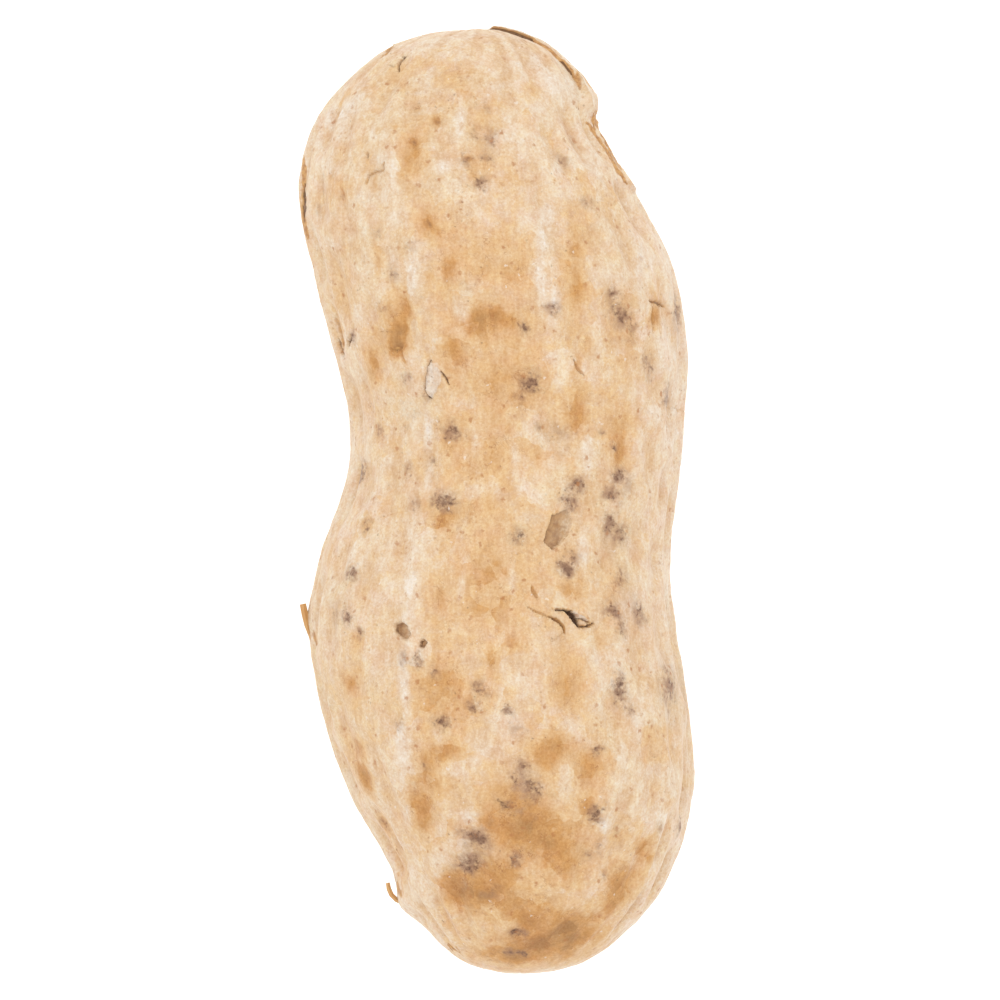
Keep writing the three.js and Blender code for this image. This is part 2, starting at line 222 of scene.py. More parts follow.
MOULD = [
    (418, 110, 4, 4, 0.4), (438, 123, 5, 5, 0.4), (484, 108, 5, 8, 0.35, 25), (477, 135, 5, 4, 0.7),
    (491, 142, 8, 7, 0.5), (413, 146, 4, 4, 0.3), (467, 161, 6, 6, 0.55), (486, 158, 4, 5, 0.7),
    (479, 186, 6, 6, 1), (562, 163, 6, 7, 0.6), (573, 142, 5, 4, 0.5), (588, 202, 4, 6, 0.9),
    (343, 197, 4, 4, 0.5), (320, 210, 5, 4, 0.5), (332, 175, 3, 3, 0.5), (377, 235, 6, 6, 0.4),
    (410, 247, 3, 5, 0.5), (428, 227, 3, 3, 0.3), (318, 257, 5, 4, 0.7), (323, 282, 4, 4, 0.8),
    (395, 273, 6, 4, 0.6), (380, 309, 4, 7, 0.5), (352, 337, 5, 3, 0.9), (467, 290, 5, 5, 0.3),
    (614, 296, 6, 6, 1), (621, 316, 7, 9, 1), (632, 328, 11, 6, 0.5), (553, 310, 5, 6, 1),
    (524, 329, 4, 4, 1.2), (530, 383, 8, 9, 1.2), (518, 400, 4, 5, 0.6), (671, 280, 6, 3, 0.5),
    (673, 312, 11, 5, 0.9, -8), (646, 365, 9, 5, 0.8, -10), (662, 398, 11, 5, 1, -8),
    (555, 430, 8, 10, 0.3), (537, 428, 8, 3, 0.4), (452, 431, 6, 7, 1), (437, 423, 3, 3, 0.9),
    (407, 378, 6, 5, 0.7), (427, 392, 10, 4, 0.6, 10), (412, 415, 8, 8, 0.3), (602, 433, 3, 3, 0.6),
    (616, 447, 3, 3, 1.4), (433, 462, 5, 5, 0.6), (408, 472, 5, 4, 0.6), (359, 473, 8, 10, 1.2),
    (378, 432, 5, 3, 1), (578, 485, 6, 6, 1.4), (620, 476, 6, 7, 1.4), (630, 486, 8, 7, 0.3),
    (612, 495, 6, 9, 1.1), (444, 501, 7, 9, 1.4), (415, 503, 9, 6, 0.5), (609, 523, 7, 7, 1.2),
    (621, 533, 8, 8, 0.7), (573, 505, 5, 6, 1.2), (518, 535, 6, 6, 0.9), (350, 574, 7, 6, 1),
    (367, 525, 6, 5, 0.8), (565, 567, 5, 6, 1.7), (572, 555, 5, 5, 0.7), (620, 578, 8, 5, 0.8),
    (610, 609, 6, 5, 1, -20), (620, 623, 8, 4, 0.7, -15), (638, 612, 10, 6, 0.8, -15),
    (349, 617, 6, 6, 1.1), (338, 615, 7, 6, 0.5), (358, 634, 3, 4, 1.2), (404, 657, 5, 4, 0.6),
    (418, 658, 5, 4, 1.2), (435, 673, 5, 5, 0.8), (480, 687, 6, 5, 1.1), (443, 722, 5, 6, 1.3),
    (472, 706, 4, 5, 1), (507, 709, 5, 5, 1), (400, 720, 6, 4, 0.5), (517, 727, 7, 6, 0.4),
    (618, 688, 10, 6, 1.3), (630, 707, 5, 5, 0.8), (665, 673, 6, 5, 1.1), (667, 688, 15, 8, 0.8, -5),
    (595, 748, 4, 7, 0.9, -15), (523, 763, 5, 5, 0.9), (516, 779, 7, 4, 0.8), (533, 786, 9, 8, 1),
    (506, 803, 4, 9, 0.8, 25), (598, 812, 7, 7, 1.2), (552, 792, 3, 5, 0.3), (588, 852, 5, 8, 0.4, 15),
    (600, 842, 5, 4, 0.6), (618, 828, 6, 4, 0.3, 20), (478, 836, 7, 8, 1.4), (463, 828, 5, 7, 0.6),
    (470, 863, 8, 11, 1.1, -10), (517, 857, 5, 4, 1.2), (603, 872, 6, 3, 0.5), (680, 825, 8, 4, 0.9, 10),
    (657, 828, 6, 3, 0.5), (411, 790, 6, 5, 0.4), (423, 763, 4, 4, 0.7), (345, 814, 8, 3, 0.8, -25),
    (383, 822, 5, 4, 0.8), (518, 932, 4, 6, 1.5), (523, 954, 4, 5, 1.2), (508, 953, 5, 4, 0.7),
    (492, 893, 6, 14, 0.3), (567, 924, 9, 20, 0.1, -20), (405, 430, 3, 4, 0.7), (566, 497, 4, 8, 0.8),
    (445, 437, 3, 4, 0.8),
]

# Broad washes of tan under the smaller marks, in the same form
WASHES = [
    (500, 330, 120, 90, 0.28), (500, 570, 130, 90, 0.25), (368, 740, 110, 40, 0.22, -8),
    (560, 870, 70, 90, 0.3), (470, 935, 34, 50, 0.4, 30), (405, 72, 24, 14, 0.45),
    (460, 78, 22, 24, 0.45), (490, 112, 34, 16, 0.45), (535, 98, 22, 14, 0.4), (370, 88, 16, 16, 0.35),
    (440, 115, 22, 16, 0.35), (340, 140, 14, 20, 0.25), (368, 170, 20, 14, 0.35), (416, 155, 28, 16, 0.6),
    (478, 170, 26, 16, 0.45), (505, 190, 44, 26, 0.35), (592, 185, 30, 18, 0.25), (610, 200, 20, 12, 0.3),
    (335, 190, 22, 12, 0.35), (430, 226, 32, 20, 0.65, 8), (375, 262, 14, 16, 0.35),
    (345, 300, 40, 14, 0.3), (480, 262, 34, 56, 0.6), (560, 270, 44, 12, 0.35), (577, 262, 56, 16, 0.5),
    (488, 325, 24, 50, 0.7), (455, 350, 26, 22, 0.6), (505, 385, 60, 44, 0.65), (488, 450, 40, 48, 0.6),
    (391, 328, 34, 17, 0.7, 10), (372, 367, 28, 14, 0.6), (390, 425, 26, 16, 0.3),
    (573, 415, 44, 18, 0.65), (615, 440, 50, 14, 0.55), (622, 325, 42, 24, 0.5), (655, 312, 20, 11, 0.5),
    (440, 440, 24, 20, 0.35), (448, 520, 26, 26, 0.5), (480, 540, 50, 46, 0.5), (480, 585, 72, 52, 0.6),
    (440, 600, 34, 16, 0.5), (470, 640, 26, 26, 0.45), (442, 700, 52, 42, 0.62), (482, 690, 30, 24, 0.55),
    (427, 765, 40, 30, 0.75), (424, 812, 30, 30, 0.85), (470, 790, 14, 30, 0.45, -20),
    (524, 828, 52, 46, 1), (500, 790, 18, 20, 0.6), (560, 850, 46, 36, 0.85), (500, 865, 30, 40, 0.95),
    (468, 890, 24, 46, 1.1), (525, 905, 30, 50, 0.8), (552, 938, 32, 60, 1.2, -10), (510, 957, 16, 44, 1),
    (566, 690, 42, 22, 0.5), (590, 775, 46, 26, 0.6), (553, 750, 24, 36, 0.7),
    (618, 885, 44, 24, 0.75, 20), (645, 850, 22, 20, 0.6), (575, 590, 34, 16, 0.45),
    (608, 600, 44, 12, 0.5), (655, 595, 14, 26, 0.25), (553, 520, 30, 12, 0.4),
    (357, 762, 40, 18, 0.6, -8), (347, 685, 24, 20, 0.45), (380, 690, 20, 20, 0.25),
    (392, 822, 26, 16, 0.45), (402, 858, 26, 14, 0.45), (368, 525, 16, 14, 0.35), (345, 640, 20, 12, 0.3),
    (470, 330, 70, 50, 0.25), (480, 425, 70, 45, 0.3), (470, 580, 95, 45, 0.25), (430, 700, 60, 30, 0.25),
    (350, 700, 60, 22, 0.25), (500, 235, 36, 36, 0.3), (545, 945, 24, 60, 0.5),
    (610, 850, 60, 30, 0.3, 20),
]

# Broad bleached places, and long pale strips along the pod's left and right edges that are painted
# reflection of the white surroundings, in the same form
BLEACHES_AND_EDGE_REFLECTION = [
    (388, 165, 34, 12, 0.5), (352, 118, 22, 14, 0.7, 30), (330, 120, 16, 10, 0.6),
    (362, 218, 20, 16, 0.45), (334, 240, 20, 12, 0.35), (548, 85, 26, 14, 0.6, -20),
    (520, 66, 10, 16, 0.4), (590, 155, 26, 12, 0.4), (640, 250, 34, 14, 0.25), (400, 262, 30, 9, 0.5),
    (425, 45, 9, 40, 0.4), (440, 850, 46, 12, 0.5, 22), (575, 92, 26, 24, 0.45, -30),
    (315, 140, 60, 22, 0.3, 12), (668, 245, 60, 24, 0.4, -12), (672, 400, 110, 26, 0.4),
    (655, 610, 90, 30, 0.35), (610, 640, 70, 22, 0.3), (668, 790, 50, 24, 0.4, 8),
    (640, 730, 40, 14, 0.3), (655, 748, 56, 44, 0.5), (544, 235, 66, 12, 0.45),
    (411, 570, 80, 7, 0.45, 3), (403, 730, 90, 7, 0.6), (336, 560, 60, 22, 0.3, 10),
    (335, 650, 60, 14, 0.3, -10), (440, 860, 32, 12, 0.55, 18), (360, 220, 60, 26, 0.3, -6),
    (375, 450, 60, 16, 0.2, 4), (520, 160, 60, 22, 0.25, 8), (395, 115, 18, 14, 0.3),
    (455, 160, 20, 10, 0.3), (500, 730, 26, 14, 0.2, 20),
]

# Broad greyish tinges, in the same form
TINGES = [
    (490, 135, 30, 20, 0.3), (462, 72, 14, 18, 0.25), (635, 380, 50, 10, 0.25), (565, 438, 14, 12, 0.6),
    (428, 400, 42, 9, 0.3), (622, 318, 34, 20, 0.5), (662, 385, 34, 16, 0.25, -8),
    (618, 492, 40, 22, 0.45), (614, 535, 34, 18, 0.5), (620, 600, 40, 20, 0.5), (668, 682, 34, 18, 0.65),
    (622, 695, 24, 16, 0.35), (345, 608, 22, 22, 0.45), (350, 575, 14, 16, 0.25),
    (468, 848, 36, 18, 0.7, 15), (522, 778, 32, 20, 0.6), (556, 432, 16, 18, 0.3),
    (408, 660, 26, 12, 0.25), (440, 500, 16, 20, 0.2), (575, 560, 18, 14, 0.3), (590, 848, 16, 22, 0.25),
    (520, 942, 20, 20, 0.3), (320, 265, 30, 12, 0.25), (478, 85, 26, 22, 0.35), (300, 150, 40, 12, 0.2),
    (685, 690, 60, 8, 0.5), (640, 300, 30, 12, 0.3), (678, 330, 80, 12, 0.35, -6),
    (600, 640, 40, 20, 0.2), (620, 240, 50, 16, 0.25, -10), (520, 150, 30, 20, 0.2),
]

# Cracks and slits: the points that each runs through, its half width in pixels, its depth in millimetres,
# how much painted shade darkens its floor, how orange its torn edges are, and how far one side stands up
CRACKS = [
    ([(407, 56), (401, 61), (398, 67), (399, 71)], 0.9, 0.14, 0.6, 0.3, 0),
    ([(388, 68), (394, 67)], 0.7, 0.08, 0.4, 0.3, 0),
    ([(385, 164), (384, 172), (376, 174), (369, 177), (367, 185)], 0.4, 0.08, 0.05, 0.55, 0.1),
    ([(397, 883), (398.5, 889), (401, 896)], 0.7, 0.03, 0, 0.8, 0),
    ([(367, 154), (368, 160)], 0.8, 0.1, 0.5, 0.3, 0),
    ([(324, 175), (323, 190), (324, 205)], 0.5, 0.06, 0.3, 0.3, 0),
    ([(350, 335), (348, 346)], 1.1, 0.14, 0.7, 0.5, 0.05),
    ([(338, 340), (344, 355)], 1, 0.1, 0.6, 0.5, 0.04),
    ([(376, 333), (385, 332), (394, 331.5), (403, 332)], 0.4, 0.04, 0.35, 0.4, 0.03),
    ([(389, 349), (394, 351), (400, 348)], 1.3, 0.08, 0.4, 0.7, 0.04),
    ([(400, 350), (402, 357), (405, 364)], 0.5, 0.05, 0.1, 0.6, 0.05),
    ([(440, 372), (445, 378), (449, 385)], 0.7, 0.1, 0.7, 0.4, 0),
    ([(574, 361), (577, 368), (583, 375)], 1, 0.12, 0.25, 0.5, 0.06),
    ([(650, 302), (657, 303), (663, 308)], 1.2, 0.12, 0.6, 0.6, 0.06),
    ([(653, 308), (654, 320), (653, 333)], 1.4, 0.08, 0.1, 0.3, 0.05),
    ([(665, 408), (675, 409), (685, 411)], 0.6, 0.05, 0.2, 0.4, 0),
    ([(532, 586), (533, 590), (537, 597)], 1.2, 0.12, 0.3, 0.6, 0.05),
    ([(527, 606), (536, 611), (546, 615), (555, 620)], 0.5, 0.12, 0.2, 0.55, 0.1),
    ([(550, 617), (558, 621), (563, 626), (564, 632)], 1.1, 0.2, 0.5, 0.8, 0.12),
    ([(552, 609), (558, 609), (565, 610), (570, 613)], 0.8, 0.2, 0.9, 0.3, 0.1),
    ([(566, 610), (572, 615), (576, 620), (579, 626)], 2.4, 0.4, 1, 0.5, 0),
    ([(576, 618), (583, 619), (590, 622)], 0.8, 0.15, 0.7, 0.5, 0),
    ([(578, 625), (586, 626), (594, 623)], 0.9, 0.2, 0.8, 0.7, 0),
    ([(563, 632), (556, 638), (551, 641)], 0.7, 0.06, 0.3, 0.4, 0),
    ([(313, 631), (314.5, 638), (316.5, 645)], 0.5, 0.05, 0.1, 0.8, 0),
    ([(356, 802), (359, 810), (363, 818)], 0.8, 0.1, 0.4, 0.7, 0.05),
    ([(448, 944), (453, 948), (459, 952)], 0.7, 0.08, 0.3, 0.8, 0),
    ([(384, 56), (389, 52), (393, 47)], 0.9, 0.1, 0.3, 0.7, 0.05),
    ([(304.5, 158), (305, 172), (305, 188)], 1.4, 0.03, 0, 1, 0),
    ([(305, 184), (304, 200), (303.5, 222)], 1.2, 0.08, 0.7, 0.8, 0),
    ([(303.5, 214), (305, 226), (308, 238)], 1, 0, 0, 0.9, 0),
    ([(497, 798), (502, 801), (508, 806)], 1, 0.06, 0.4, 0.2, 0),
    ([(577, 74), (579, 81), (579.5, 91)], 1.1, 0.05, 0.15, 0.9, 0),
    ([(594, 113), (592, 120), (594, 130)], 1, 0.08, 0.1, 0.9, 0.03),
    ([(597, 113), (597, 123), (602, 136)], 1.2, 0.05, 0, 0.8, 0),
    ([(586, 124), (590, 129), (594, 135), (600, 143)], 0.9, 0.04, 0, 0.9, 0),
    ([(600, 134), (606, 144), (612, 154)], 0.8, 0.08, 0.1, 0.8, 0.03),
    ([(596, 138), (604, 149), (611, 160), (618, 172), (626, 184)], 0.9, 0.03, 0, 1, 0.03),
    ([(610, 151), (616, 160), (622, 169)], 0.7, 0.04, 0, 0.6, 0),
    ([(578, 578), (596, 579), (612, 582), (628, 584)], 0.4, 0.03, 0.12, 0.2, 0),
    ([(336, 318), (341, 332), (344, 346)], 0.8, 0.05, 0.2, 0.6, 0),
]

# Chips in the outer skin: outline in pixels, depth in millimetres, the strength of the painted shade
# on their walls, and how orange the floor is
CHIPS = [
    (
        [(552, 515), (567, 510), (572, 520), (569, 532), (563, 541), (553, 550), (544, 542), (547, 530)],
        0.25, 0.5, 0.25,
    ),
    ([(394, 624), (401, 621), (408, 625), (411.5, 633), (406, 640), (400, 636), (395, 632)], 0.25, 0.6, 0.3),
    ([(419, 641), (424, 638), (427, 642), (423, 648), (418, 647)], 0.28, 0.8, 0.4),
]

# Lifted flakes of skin: outline in pixels, and how far the free side stands up in millimetres
FLAPS = [
    (
        [(431, 362), (436, 367), (441, 373), (442, 381), (438, 390), (433, 398), (430, 397), (427, 390),
         (428, 375)],
        0.16,
    ),
    ([(566, 611), (575, 611), (583, 615), (590, 621), (582, 620), (577, 617), (571, 614)], 0.12),
]

# Blades of skin that stand off the pod's edge: place in the photograph and half width, in pixels, along each,
# then the height of its upper edge and how deep it is, in millimetres
LEFT_FLAKE = [(302.7, 604, 3.2), (304.9, 614.5, 3.4), (307.0, 625, 2.9), (309.2, 633, 2.0), (311, 640, 0.8)]
LEFT_FLAKE_TOP = 6.7
LEFT_FLAKE_DEEP = 0.3
CURLED_EDGE = [(387.7, 883, 2.0), (388.8, 889, 2.3), (391.4, 895, 2.3), (396.4, 900, 2.3), (403, 903, 2.3)]
CURLED_EDGE_TOP = 6.8
CURLED_EDGE_DEEP = 0.4

# Marks placed by chance on the face that the photograph doesn't show: how many, the largest half width in
# pixels and the greatest strength, and the stretches of the photograph's frame that they lie in
UNSEEN_STAINS = (70, 12, 0.6)
UNSEEN_WASHES = (40, 40, 0.6)
UNSEEN_RIDGES = (60, 10, 0.8)
UNSEEN_MOULD = (70, 7, 1.1)
UNSEEN_TINGES = (20, 25, 0.4)
ACROSS_POD = (310, 690)
DOWN_POD = (40, 960)
SEED = 7

# How much of the pod counts as seen: degrees below the seam, and how far down on the unit sphere. Faces are
# halved near the wounds a little further down.
SEEN_BELOW_SEAM = 14
SEEN_DOWN_TO = -0.25
WOUNDS_DOWN_TO = -0.3

# The sizes of the swirls and ripples that draw out the marks' edges, in millimetres, and how many pixels each
# of the two moves small marks, broad marks and mould. Then the same for the wounds' edges: the tears' size,
# how many pixels they move them, and how many more the ripples do on the steep sides.
SWIRL_SIZE = 1.3
RIPPLE_SIZE = 0.4
SMALL_DRAW = (5.0, 2.2)
BROAD_DRAW = (13, 5)
MOULD_DRAW = (3.5, 4.0)
TEAR_SIZE = 0.22
TEAR_DRAW = 1.1
STEEP_DRAW = 4

# How fast a mark fades from its middle, what is kept of the small stains' strength, how much of a stain a
# pale ridge takes away and how much of a ridge the square patch does, and how much mould is enlarged
FADING = 0.8
STAIN_SHARE = 0.62
PALE_CLEARS = 0.75
PATCH_CLEARS = 0.8
MOULD_GROWTH = 1.2

# Relief in millimetres: how far ridges rise and stained pits sink, and how high and large the skin's lumps
# and its lengthwise grain are. A crack's lifted side sinks back over LIFT_REACH pixels.
RIDGE_RISE = 0.08
PIT_SINK = 0.1
SKIN_LUMPS = 0.05
LUMP_SIZE = 1.6
SKIN_GRAIN = 0.018
GRAIN_SIZE = 0.35
GRAIN_STRETCH = np.array([1.0, 0.45, 1.0])
LIFT_REACH = 4.5

# Fibres are drawn out along the pod by this scale, and the fine bump is this high in millimetres
FIBRE_SCALE = 0.3
BUMP_HEIGHT = 0.06

# The one lamp, in millimetres and watts, the floor's half size in metres, and the camera in millimetres
KEY_PLACE = (-5, 45, 500)
KEY_SIZE = 300
KEY_POWER = 1.12
FLOOR_HALF = 1.6
CAMERA_HEIGHT = 1000
CAMERA_SENSOR = 36
WIDEST_AT = 7.0

# A level surface shows this many times as bright as its own colour
LIGHT_LEVEL = 1.42


def smoothstep(low, high, value):
    x = np.clip((value - low) / (high - low), 0.0, 1.0)
    return x * x * (3.0 - 2.0 * x)


def chance(n):
    """A fixed number between 0 and 1 for each rib or furrow, the same as in the CAD pod."""
    s = np.sin(n * 12.9898 + 4.1414) * 43758.5453
    return s - np.floor(s)


def station_at(t):
    """The stations' values at t from 0 to 1, on a smooth curve that rounds over at both tips."""
    last = len(STATIONS) - 1
    mirror = np.array([1, 1, -1, -1, 1])
    line = np.vstack([STATIONS[1] * mirror, STATIONS, STATIONS[-2] * mirror])
    along = np.clip(t, 0.0, 1.0) * last
    step = np.minimum(along.astype(int), last - 1)
    f = (along - step)[:, None]
    a, b, c, d = (line[step + k] for k in range(4))
    return b + 0.5 * f * (c - a + f * (2 * a - 5 * b + 4 * c - d + f * (3 * (b - c) + d - a)))


def net(degrees, y):
    """How high the raised net stands: 1 on a crest, 0 in a pit."""
    sway = 2.6 * np.sin(y / 5.2 + 0.8) + 1.8 * np.sin(y / 2.3 + np.radians(degrees))
    q = (degrees - FIRST_RIB + sway) * RIBS / 360
    furrow = np.floor(q) % RIBS
    crest = np.floor(q + 0.5) % RIBS
    on_rib = np.cos(np.pi * (q - np.floor(q))) ** 2
    strength = 0.78 + 0.22 * np.sin(y / (2.6 + 1.8 * chance(crest)) + 6.28 * chance(crest + 40))
    pitch = CROSS_PITCH * (0.8 + 0.4 * chance(furrow + 160))
    phase = y / pitch + chance(furrow + 80) + 0.2 * np.sin(y / 2.9 + 6.28 * chance(furrow + 120))
    cross_rib = (0.5 + 0.5 * np.cos(2 * np.pi * phase)) ** 2
    return on_rib * strength + (1 - on_rib) * cross_rib * 0.95


def lumps(p):
    x, y, z = p.T
    return (
        np.sin(x / 2.1 + y / 3.3 + 1.0)
        + np.sin(y / 2.7 - z / 2.4 + 2.0)
        + np.sin(z / 2.9 + x / 3.6 - y / 4.1)
    ) / 3


def parted(y, column):
    return np.interp(-y, -PARTED[:, 0], PARTED[:, column])


def above_seam(degrees, y):
    """Degrees above the seam of the two halves, on whichever side of the pod the point is."""
    right = np.abs(degrees) < 90
    level = np.where(right, degrees, np.sign(degrees) * 180 - degrees)
    swaying = SEAM_SWAY * np.sin(y / 8 - 0.3)
    return level - np.where(right & (y > PARTED[-1, 0]), parted(y, 1), swaying)


def parting(degrees, seam, half_width, y):
    """The height that the parted halves add, and how far up the step between them each point is: 0 on the
    upper half's edge and 1 on the lower half's rim."""
    arc = np.radians(seam) * half_width
    upper = -parted(y, 2) * (1 - smoothstep(0, EDGE_FALL, arc))
    bulge = RIM_SHARE + (1 - RIM_SHARE) * smoothstep(0, BULGE_BELOW, -seam)
    lower = parted(y, 3) * bulge * (1 - smoothstep(BULGE_BELOW + 3, BULGE_END, -seam))
    step = np.clip(0.5 - arc / STEP_WIDTH, 0, 1)
    here = (np.abs(degrees) < 90) * smoothstep(PARTED_FROM - 0.1, PARTED_FROM + 0.1, half_width)
    return here * (upper * (1 - step) + lower * step), step


def pod_surface(unit):
    """The pod's points in millimetres for points of a unit sphere, with what the rest of the skin is built
    from: the way out, how high the net stands, the angle round the pod, the place along it, how far above the
    seam it is in degrees and in millimetres, and how far up the step between the parted halves."""
    t = np.arccos(np.clip(unit[:, 1], -1, 1)) / np.pi
    degrees = np.degrees(np.arctan2(unit[:, 2], unit[:, 0]))
    y, centre_x, half_width, half_depth, centre_z = station_at(t).T
    turn = np.radians(degrees)
    smooth = np.stack([centre_x + half_width * np.cos(turn), y, centre_z + half_depth * np.sin(turn)], 1)
    spine = np.stack([centre_x, np.clip(y, -SPINE_END, SPINE_END), centre_z], 1)
    out = smooth - spine
    out /= np.linalg.norm(out, axis=1)[:, None]

    near_tip = np.minimum(STATIONS[0, 0] - y, y - STATIONS[-1, 0])
    fade = smoothstep(0.2, TIP_FADE, near_tip)
    seam = above_seam(degrees, y)
    on_seam = np.exp(-((np.radians(seam) * half_width / SEAM_WIDTH) ** 2))
    raised = np.maximum(net(degrees, y), on_seam)
    height = -PIT_DEPTH * (1 - raised) * fade * (1 - WORN * smoothstep(0.0, 0.55, unit[:, 2]))
    height += LUMP_HEIGHT * lumps(smooth) * fade
    height += SEAM_HEIGHT * on_seam * fade
    parting_height, step = parting(degrees, seam, half_width, y)
    height += parting_height
    for middle, reach, size in TORN_SWELLS:
        height += size * np.exp(-(((y - middle) / reach) ** 2) - (seam / 30) ** 2) * (np.abs(degrees) > 90)
    return {
        "place": smooth + out * height[:, None],
        "out": out,
        "raised": raised,
        "degrees": degrees,
        "y": y,
        "seam": seam,
        "step": step,
        "arc": np.radians(seam) * half_width,
    }


def to_photo(p):
    """Pixels of the photograph for points in millimetres."""
    return np.stack([PHOTO_ORIGIN[0] + p[:, 0] / MM_PER_PX, PHOTO_ORIGIN[1] - p[:, 1] / MM_PER_PX], 1)


def from_photo(x, y):
    """Millimetres across and along the pod for a point of the photograph."""
    return (x - PHOTO_ORIGIN[0]) * MM_PER_PX, (PHOTO_ORIGIN[1] - y) * MM_PER_PX


def wandering(places, size):
    """A fixed noise from about -1 to 1 in each direction, with swirls of the given size."""
    return np.array([noise.turbulence_vector(Vector(p) / size, 2, False) for p in places]) * 0.8


def line_distance(spots, points):
    """Pixels from each spot to a line through the points, its side of the line, and how far along it is."""
    best = np.full(len(spots), 1e9)
    side = np.zeros(len(spots))
    run = np.zeros(len(spots))
    lengths = [math.dist(a, b) for a, b in zip(points[:-1], points[1:])]
    passed = 0.0
    for start, end, length in zip(points[:-1], points[1:], lengths):
        start, along = np.array(start, float), np.subtract(end, start).astype(float)
        from_start = spots - start
        share = np.clip(from_start @ along / (along @ along), 0, 1)
        away = from_start - share[:, None] * along
        distance = np.hypot(away[:, 0], away[:, 1])
        nearer = distance < best
        best[nearer] = distance[nearer]
        side[nearer] = np.sign(along[0] * away[:, 1] - along[1] * away[:, 0])[nearer]
        run[nearer] = (passed + share[nearer] * length) / sum(lengths)
        passed += length
    return best, side, run


def inside_outline(spots, outline):
    """Pixels inside a closed outline, less than nothing outside it."""
    distance, *_ = line_distance(spots, [*outline, outline[0]])
    within = np.zeros(len(spots), bool)
    for (x0, y0), (x1, y1) in zip(outline, [*outline[1:], outline[0]]):
        crosses = (y0 > spots[:, 1]) != (y1 > spots[:, 1])
        within ^= crosses & (spots[:, 0] < (x1 - x0) * (spots[:, 1] - y0) / (y1 - y0 + 1e-9) + x0)
    return np.where(within, distance, -distance)


def wound_reach(spots, seam, degrees, y):
    """Pixels from each spot to the nearest crack, chip or flap, or to the parted seam."""
    nearest = np.full(len(spots), 1e9)
    for points, half_width, *_ in CRACKS:
        nearest = np.minimum(nearest, line_distance(spots, points)[0] - half_width)
    for outline, *_ in CHIPS:
        nearest = np.minimum(nearest, -inside_outline(spots, outline))
    for outline, _ in FLAPS:
        nearest = np.minimum(nearest, np.abs(inside_outline(spots, outline)))
    by_seam = (np.abs(degrees) < 90) & (y > OPEN_SEAM_TO)
    pod_radius = np.interp(-y, -STATIONS[:, 0], STATIONS[:, 2])
    to_seam = np.abs(np.radians(seam) * pod_radius) / MM_PER_PX - 1
    return np.where(by_seam, np.minimum(nearest, to_seam), nearest)


def spread_marks(marks, spots, height, where):
    """The marks laid over the spots: each fades from its middle, along the surface and not through it."""
    total = np.zeros(len(spots))
    for x, y, half_length, half_width, strength, *tilt in marks:
        turn = math.radians(tilt[0] if tilt else 0)
        dx, dy = spots[:, 0] - x, spots[:, 1] - y
        near = (np.hypot(dx, dy) < 3 * max(half_length, half_width)) & where
        if not near.any():
            continue
        dx, dy = dx[near], dy[near]
        middle = height[near][np.argmin(np.hypot(dx, dy))]
        across = dx * math.cos(turn) + dy * math.sin(turn)
        along = -dx * math.sin(turn) + dy * math.cos(turn)
        deep = (height[near] - middle) / MM_PER_PX / max(half_length, half_width)
        reach = (across / half_width) ** 2 + (along / half_length) ** 2 + deep**2
        total[near] = np.maximum(total[near], strength * np.exp(-FADING * reach))
    return total


def scattered(count, largest, strongest):
    """Marks for the face that the photograph doesn't show, placed by chance."""
    marks = []
    for _ in range(count):
        half_width = random.uniform(0.4, 1.0) * largest
        half_length = half_width * random.uniform(0.8, 2.4)
        strength = random.uniform(0.4, 1.0) * strongest
        x = random.uniform(*ACROSS_POD)
        y = random.uniform(*DOWN_POD)
        marks.append((x, y, half_length, half_width, strength))
    return marks


def take_mesh(bm, name):
    mesh = bpy.data.meshes.new(name)
    bm.to_mesh(mesh)
    bm.free()
    return mesh


def put_in_scene(name, data):
    made = bpy.data.objects.new(name, data)
    bpy.context.scene.collection.objects.link(made)
    return made


def fine_sphere():
    """A unit sphere with its poles along Y, with its faces halved near the wounds."""
    bm = bmesh.new()
    bmesh.ops.create_uvsphere(bm, u_segments=AROUND, v_segments=ALONG, radius=1.0)
    bmesh.ops.rotate(bm, verts=bm.verts, matrix=Matrix.Rotation(-math.pi / 2, 3, "X"))
    for reach in WOUND_CUTS:
        unit = np.array([v.co.normalized() for v in bm.verts])
        skin = pod_surface(unit)
        near = wound_reach(to_photo(skin["place"]), skin["seam"], skin["degrees"], skin["y"]) < reach
        near &= unit[:, 2] > WOUNDS_DOWN_TO
        bm.verts.ensure_lookup_table()
        edges = [e for e in bm.edges if near[e.verts[0].index] and near[e.verts[1].index]]
        bmesh.ops.subdivide_edges(bm, edges=edges, cuts=1, use_grid_fill=True)
        bm.verts.index_update()
    bmesh.ops.triangulate(bm, faces=[f for f in bm.faces if len(f.verts) > 4])
    return take_mesh(bm, "pod_skin")


def read_places(mesh):
    places = np.zeros(len(mesh.vertices) * 3)
    mesh.vertices.foreach_get("co", places)
    return places.reshape(-1, 3)


def write_marks(mesh, name, red, green, blue):
    """Three values for each vertex, for the material to read."""
    marks = mesh.attributes.new(name, "FLOAT_COLOR", "POINT")
    marks.data.foreach_set("color", np.stack([red, green, blue, np.ones(len(red))], 1).ravel())


def rough(places, size, octaves):
    """A fixed, even roughness between about -1 and 1, with features of the given size."""
    return np.array([noise.fractal(Vector(p) / size, 0.7, 2.1, octaves) for p in places])


def cover(skin, name, strength):
    """Brings a value of the skin up to the given strength wherever it is less."""
    skin[name] = np.maximum(skin[name], strength)


def add_cracks(spots, facing, skin):
    for points, half_width, depth, painted_shade, orange, lift in CRACKS:
        distance, side, run = line_distance(spots, points)
        half = half_width * (0.35 + 0.75 * np.sin(np.pi * run))
        core = smoothstep(0.9, -0.3, distance - half) * facing
        edge = smoothstep(2.2, 0.0, distance - half) * facing
        skin["height"] -= depth * core
        # The crack's floor is darkened with painted shade
        cover(skin, "dark", painted_shade * core)
        cover(skin, "torn", orange * edge)
        skin["height"] += lift * np.exp(-distance / LIFT_REACH) * (side > 0) * (1 - core) * facing


